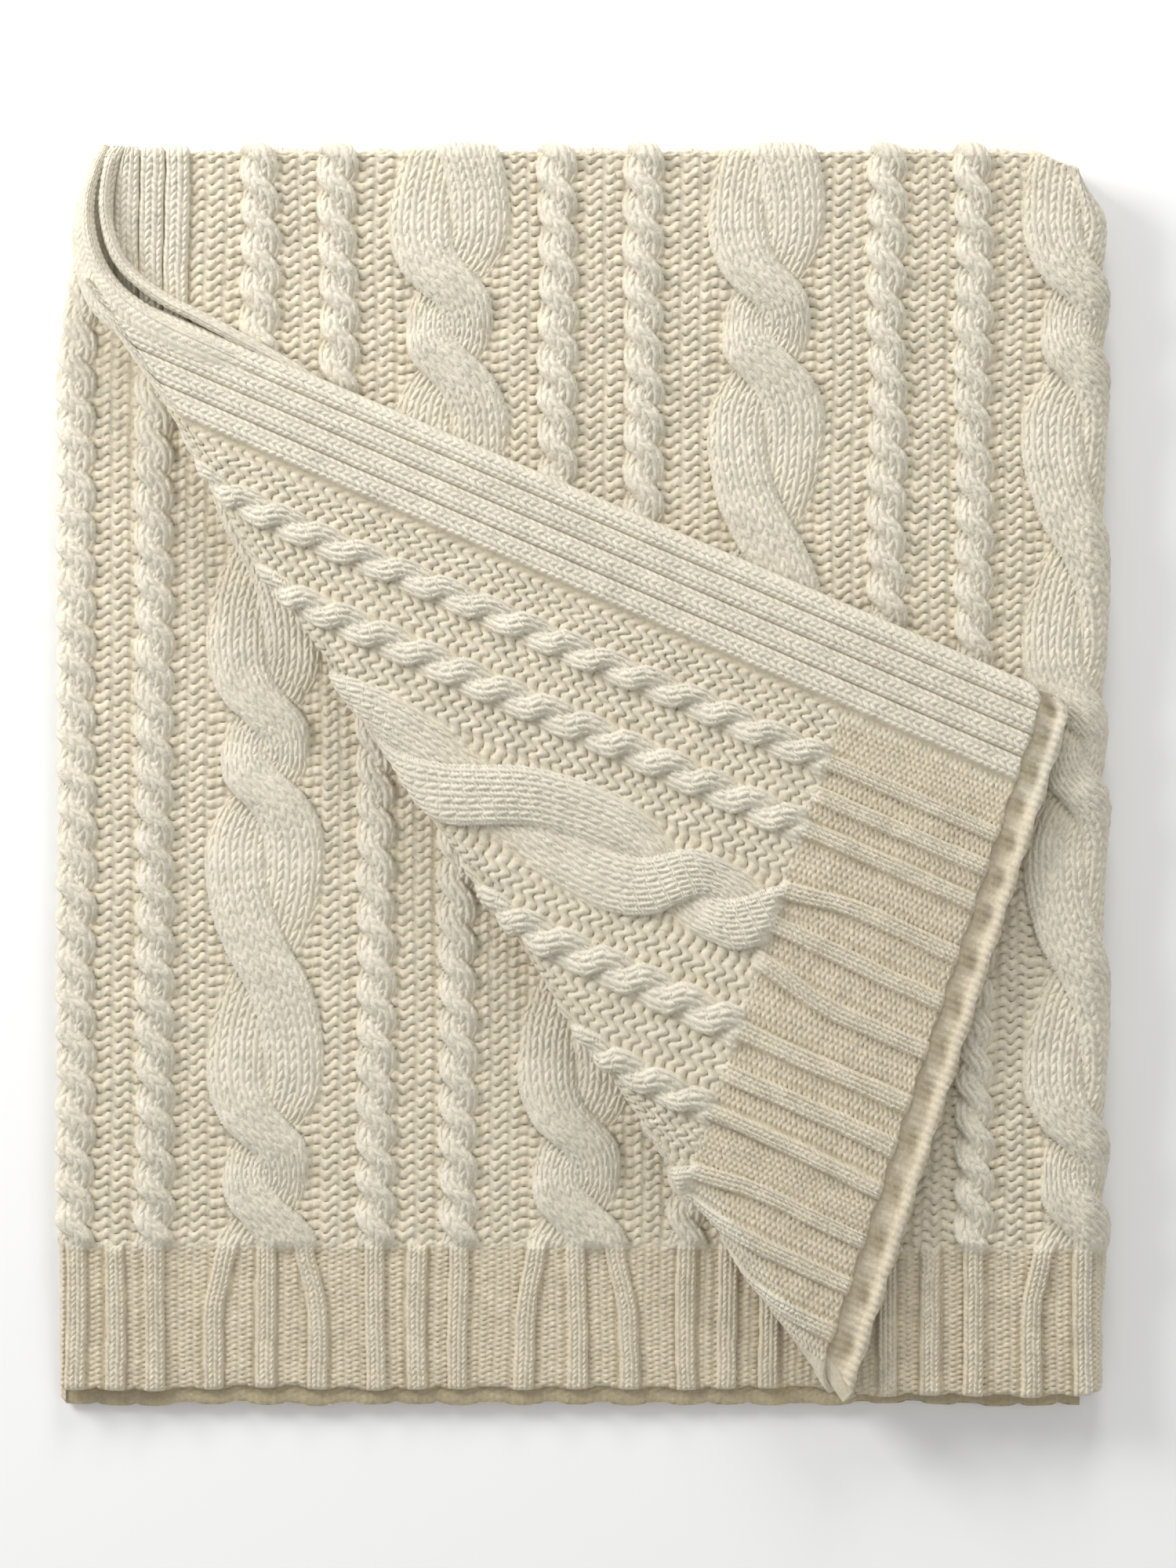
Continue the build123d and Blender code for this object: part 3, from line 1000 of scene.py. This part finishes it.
def camera():
    """Straight above the throw."""
    data = bpy.data.cameras.new("camera")
    data.type = "PERSP"
    data.sensor_width = SENSOR
    data.lens = LENS
    data.clip_end = 20.0
    eye = bpy.data.objects.new("camera", data)
    eye.location = EYE
    bpy.context.collection.objects.link(eye)
    bpy.context.scene.camera = eye


# ---- The throw ----

IVORY = wool("ivory_wool", (0.80, 0.742, 0.607), (0.74, 0.667, 0.507), (0.46, 0.38, 0.225), 0.0)
# The hems get a darker, more olive copy of the wool: painted shade, for the light that falls off towards
# the hem.
SHADED_HEM_WOOL = wool("ivory_rib", (0.76, 0.685, 0.53), (0.70, 0.618, 0.455), (0.43, 0.35, 0.20), 7.0)


def constant(low, high):
    """Limits that are the same for every column."""
    def limits(columns):
        return np.full_like(columns, low), np.full_like(columns, high)
    return limits


def above_fold(low, high):
    """Limits of an upper ply: from the corner roll or low, up to high."""
    def limits(columns):
        bottom = np.minimum(np.maximum(tangent_y(columns), low), high - SLIVER)
        return bottom, np.full_like(columns, high)
    return limits


def tangent_x(y):
    """X of the corner roll's tangent line."""
    return (TANGENT - INWARD[1] * y) / INWARD[0]


def free_end(end, high):
    """Limits from a scalloped free end up to a line."""
    def limits(columns):
        return end(columns), np.full_like(columns, high)
    return limits


def hem_beside_fold(end):
    """Limits of an upper hem, cut off by the corner roll."""
    def limits(columns):
        top = np.full_like(columns, HEM_TOP)
        return np.minimum(np.maximum(end(columns), tangent_y(columns)), top - SLIVER), top
    return limits


def flipped(function, side=-1.0):
    """The same function, with the columns counted the other way where side is -1."""
    def call(columns, *rest):
        return function(side * columns, *rest)
    return call


def flap_limits(flap, low, high):
    """Limits of a zone of the turned-back corner."""
    def limits(columns):
        bottom = corner_inset(columns) - 1.3 * np.cos(2.0 * math.pi * (columns - 113.8) / FLAP_RIB)
        if low is not None:
            bottom = np.full_like(columns, low)
        top = flap.far_end(columns)
        if high is not None:
            top = np.minimum(top, high)
        return np.minimum(bottom, top - SLIVER), top
    return limits


def a_where(flap, b):
    """a at which the flat flap is this long."""
    trial = np.linspace(0.0, flap.widest(), 400)
    return np.interp(-b, -flap.far_end(trial), trial)


def roll_ends(flap, length):
    """Limits of the roll along the fold, from its end on the flat half to its end on the flap."""
    def along(x, y):
        return float(ALONG @ (np.array([x, y]) - np.array(roll_plan(0.0, 0.0))))
    flat_low = along(UPPER_LEFT, tangent_y(UPPER_LEFT))
    flat_high = along(tangent_x(HEM_END[3]), HEM_END[3])
    flap_low = along(*flap.plan(0.0, float(flap.far_end(np.zeros(1))[0])))
    flap_high = along(*flap.plan(flap.widest(), 0.0))

    def limits(columns):
        share = columns / length
        return flat_low + share * (flap_low - flat_low), flat_high + share * (flap_high - flat_high)
    return limits


def over_top(near, far):
    """Relief over the far fold: the front ply's above, the rear ply's below."""
    def height(u, v):
        mix = fade(((v - TOP_TANGENT) / TOP_LENGTH - 0.45) / 0.25)
        return near(u, v) + mix * (far(u, 2.0 * TOP_TANGENT + TOP_LENGTH - v) - near(u, v))
    return height


def strips(low, high, count):
    """Edges of side-by-side strips."""
    edges = np.linspace(low, high, count + 1)
    return list(zip(edges[:-1], edges[1:]))


def hem_height(height, end):
    """The same relief, rounded off towards a hem's end."""
    def rounded(u, v):
        return height(u, v) * edge_round(v - end(u))
    return rounded


def scallop(u, cloth, end, depth=1.8):
    """The hem's end, which reaches a little further at each rib."""
    reach = np.zeros_like(u)
    for centre, _ in rib_centres(cloth):
        reach = np.maximum(reach, dome((u - centre) / 11.0))
    return end - depth * reach + 0.8 * waves(u, 0.0 * u, 120.0, 41)


def hem_end(cloth, ply):
    """The end of a ply's hem, as a function of the column."""
    def end(u):
        return scallop(u, cloth, HEM_END[ply] + HEM_MARGIN)
    return end


def panel_strips(name, body, node, spans, limits, step, place, height):
    """A panel made of side-by-side strips."""
    for index, sides in enumerate(spans):
        knit_piece(f"{name}_{index + 1}", body, [node], sides, limits, step, place, height)


def lower_hem_backing(u, v):
    """Lift of the lowest hem's wrong side, which shows from below."""
    end = hem_end(LOWER_MIRRORED, 0)
    return 2.6 - 1.6 * wrong_side(u, v) - 1.6 * edge_round(v - end(u), 5.0)


def lower_hem_shade(u, v):
    """Painted shadow on the lowest hem's wrong side, which shows beneath the hem of the ply above; darker
    between its bumps.
    """
    return 0.5 + 0.9 * wrong_side(u, v)


def lower_edge(ply, side_name, height, end):
    """The folded left edge of a lower ply, and its side band, tucked in."""
    side = 1.0 if ply else -1.0
    edge_end = flipped(end, side)
    knit_piece(f"lower_{side_name}_edge_roll_knit", "lower_half", [f"lower_{side_name}_panel"],
               (EDGE_TURN - EDGE_LENGTH, EDGE_TURN), free_end(edge_end, TOP_TANGENT), FINE,
               partial(place_lower_edge, ply=ply), hem_height(flipped(height, side), edge_end),
               curved=True)
    knit_piece(f"lower_{side_name}_side_band_knit", "lower_half", [f"lower_{side_name}_side_band"],
               (EDGE_TURN, EDGE_TURN + 4.2 * BAND_RIB), constant(HEM_TOP, TOP_TANGENT), PLAIN,
               partial(place_tucked, ply=ply), tucked_height)


def lower_half():
    """The two plies that lie on the surface, their folds and their tucked side bands."""
    front, back = ply_height(LOWER_CLOTH), ply_height(LOWER_MIRRORED)
    front_end, back_end = hem_end(LOWER_CLOTH, 1), hem_end(LOWER_MIRRORED, 0)
    panel = constant(HEM_TOP, TOP_TANGENT)
    panel_strips("lower_front_panel_knit", "lower_half", "lower_front_panel",
                 strips(EDGE_TURN, RIGHT_TANGENT, 6), panel, FINE, place_lower_front, front)
    panel_strips("lower_back_panel_knit", "lower_half", "lower_back_panel",
                 strips(-RIGHT_TANGENT, -EDGE_TURN, 3), panel, PLAIN, place_lower_back, back)
    knit_piece("lower_front_hem_knit", "lower_half", ["lower_front_hem_rib"],
               (EDGE_TURN, RIGHT_TANGENT), free_end(front_end, HEM_TOP), FINE, place_lower_front,
               hem_height(front, front_end))
    knit_piece("lower_back_hem_knit", "lower_half", ["lower_back_hem_rib"],
               (-RIGHT_TANGENT, -EDGE_TURN), free_end(back_end, HEM_TOP), PLAIN, place_lower_back,
               hem_height(back, back_end), backing=lower_hem_backing, shade=lower_hem_shade)
    lower_edge(1, "front", front, front_end)
    lower_edge(0, "back", back, back_end)
    knit_piece("lower_top_fold_knit", "lower_half", ["lower_top_fold"], (EDGE_TURN, RIGHT_TANGENT),
               constant(TOP_TANGENT, TOP_TANGENT + TOP_LENGTH), FINE, partial(place_top, ply=1),
               over_top(front, flipped(back)), curved=True)


def upper_band_height(u, v):
    """Relief of the upper front side band, rounded at its free edge."""
    return relief(u, v, UPPER_CLOTH) * edge_round(u - UPPER_LEFT + EDGE_MARGIN)


def upper_back_band_height(u, v):
    """Relief of the upper back side band, rounded at its free edge."""
    return upper_back_height(u, v) * edge_round(-UPPER_LEFT - u + EDGE_MARGIN)


def upper_half():
    """The two plies of the half that opens, with their band, hem and far fold."""
    front = ply_height(UPPER_CLOTH)
    end, back_end = hem_end(UPPER_CLOTH, 3), hem_end(UPPER_MIRRORED, 2)
    panel = above_fold(HEM_TOP, TOP_TANGENT)
    hem_left = float(tangent_x(HEM_TOP)) + SLIVER
    panel_strips("upper_front_panel_knit", "upper_half", "upper_front_panel",
                 strips(BAND_INNER, RIGHT_TANGENT, 5), panel, FINE, place_upper_front, front)
    panel_strips("upper_back_panel_knit", "upper_half", "upper_back_panel",
                 strips(-RIGHT_TANGENT, -BAND_INNER, 2), flipped(panel), PLAIN, place_upper_back,
                 upper_back_height)
    knit_piece("upper_front_side_band_knit", "upper_half", ["upper_front_side_band"],
               (UPPER_LEFT, BAND_INNER), panel, FINE, place_upper_front, upper_band_height)
    knit_piece("upper_back_side_band_knit", "upper_half", ["upper_back_side_band"],
               (-BAND_INNER, -UPPER_LEFT), flipped(panel), PLAIN, place_upper_back,
               upper_back_band_height)
    knit_piece("upper_front_hem_knit", "upper_half", ["upper_front_hem_rib"],
               (hem_left, RIGHT_TANGENT), hem_beside_fold(end), FINE, place_upper_front,
               hem_height(front, end))
    knit_piece("upper_back_hem_knit", "upper_half", ["upper_back_hem_rib"],
               (-RIGHT_TANGENT, -hem_left), flipped(hem_beside_fold(flipped(back_end))), PLAIN,
               place_upper_back, hem_height(upper_back_height, back_end))
    knit_piece("upper_top_fold_knit", "upper_half", ["upper_top_fold"], (UPPER_LEFT, RIGHT_TANGENT),
               constant(TOP_TANGENT, TOP_TANGENT + TOP_LENGTH), FINE, partial(place_top, ply=3),
               over_top(front, flipped(upper_back_height)), curved=True)


def wrap(name, length, cloth, end, place):
    """One ply of the fold that joins the halves."""
    piece = knit_piece(f"right_fold_{name}_wrap_knit", None, [f"right_fold_{name}_wrap"],
                       (RIGHT_TANGENT, RIGHT_TANGENT + length), free_end(end, TOP_TANGENT), FINE,
                       place, hem_height(ply_height(cloth), end), curved=True)
    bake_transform(piece)


def inner_wrap_end(u):
    """The inner wrap's straight near end."""
    return np.full_like(u, HEM_END[1] + HEM_MARGIN)


def right_wraps():
    """The two plies of the fold that joins the halves."""
    wrap("outer", WRAP_LENGTH, UPPER_CLOTH, hem_end(UPPER_CLOTH, 3), place_outer_wrap)
    wrap("inner", INNER_LENGTH, LOWER_CLOTH, inner_wrap_end, place_inner_wrap)


def corner_rolls():
    """The two plies of the rolled fold of the corner."""
    for name, sign, radius, reach, flap in (
            ("outer", OUTER, ROLL_INNER + PLY_GAP, ROLL_OUTER, FRONT_FLAP),
            ("inner", INNER, ROLL_INNER, ROLL_INNER, BACK_FLAP)):
        length = ROLL_LENGTH[sign]
        piece = knit_piece(f"corner_fold_{name}_roll_knit", None, [f"corner_fold_{name}_roll"],
                           (0.0, length), roll_ends(flap, length), FINE,
                           partial(place_roll, radius=radius, sign=sign),
                           partial(roll_height, sign=sign), curved=True)
        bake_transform(piece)


def corner_flap():
    """The two plies of the turned-back corner."""
    for side, flap, place, lift, step, backing, shade in (
            ("front", FRONT_FLAP, place_flap_front, flap_front_lift, FINE, None, None),
            ("back", BACK_FLAP, place_flap_back, flap_back_lift, 1.25 * FINE, flap_back_backing,
             flap_back_shade)):
        inner = float(a_where(flap, FLAP_HEM))
        knit_piece(f"flap_{side}_side_band_knit", "corner_flap", [f"flap_{side}_side_band"],
                   (0.0, FLAP_BAND), flap_limits(flap, None, None), step, place, lift,
                   curved=side == "front", backing=backing, shade=shade)
        knit_piece(f"flap_{side}_hem_knit", "corner_flap", [f"flap_{side}_hem_rib"],
                   (FLAP_BAND, flap.widest()), flap_limits(flap, None, FLAP_HEM), step, place, lift,
                   backing=backing, shade=shade)
        knit_piece(f"flap_{side}_panel_knit", "corner_flap", [f"flap_{side}_panel"],
                   (FLAP_BAND, inner), flap_limits(flap, FLAP_HEM, None), step, place, lift)


def curl_height(u, v):
    """Plain knit stitches of the curled edge. Painted light: their 4.4 raises the relief attribute so the
    curl is painted nearly at the pale crest colour; place_curl takes CURL_MEAN off again.
    """
    return 4.4 + 1.5 * knit_legs(u / CURL_LEG, v / BAND_ROW)


def edge_curls():
    """The side edge of the upper half's two plies, curled up where it runs into the flap."""
    for name, stations, width in (("inner", INNER_CURL, 20.0), ("outer", OUTER_CURL, 44.0)):
        table = np.array(stations)
        length = float(np.sum(np.linalg.norm(np.diff(table[:, :3], axis=0), axis=1)))
        knit_piece(f"side_band_{name}_curl_knit", "upper_half", ["upper_front_side_band"],
                   (0.0, width), constant(0.0, length), FINE,
                   partial(place_curl, stations=stations, width=width, length=length), curl_height,
                   curved=True)


lower_half()
upper_half()
edge_curls()
right_wraps()
corner_rolls()
corner_flap()
floor()
studio()
camera()
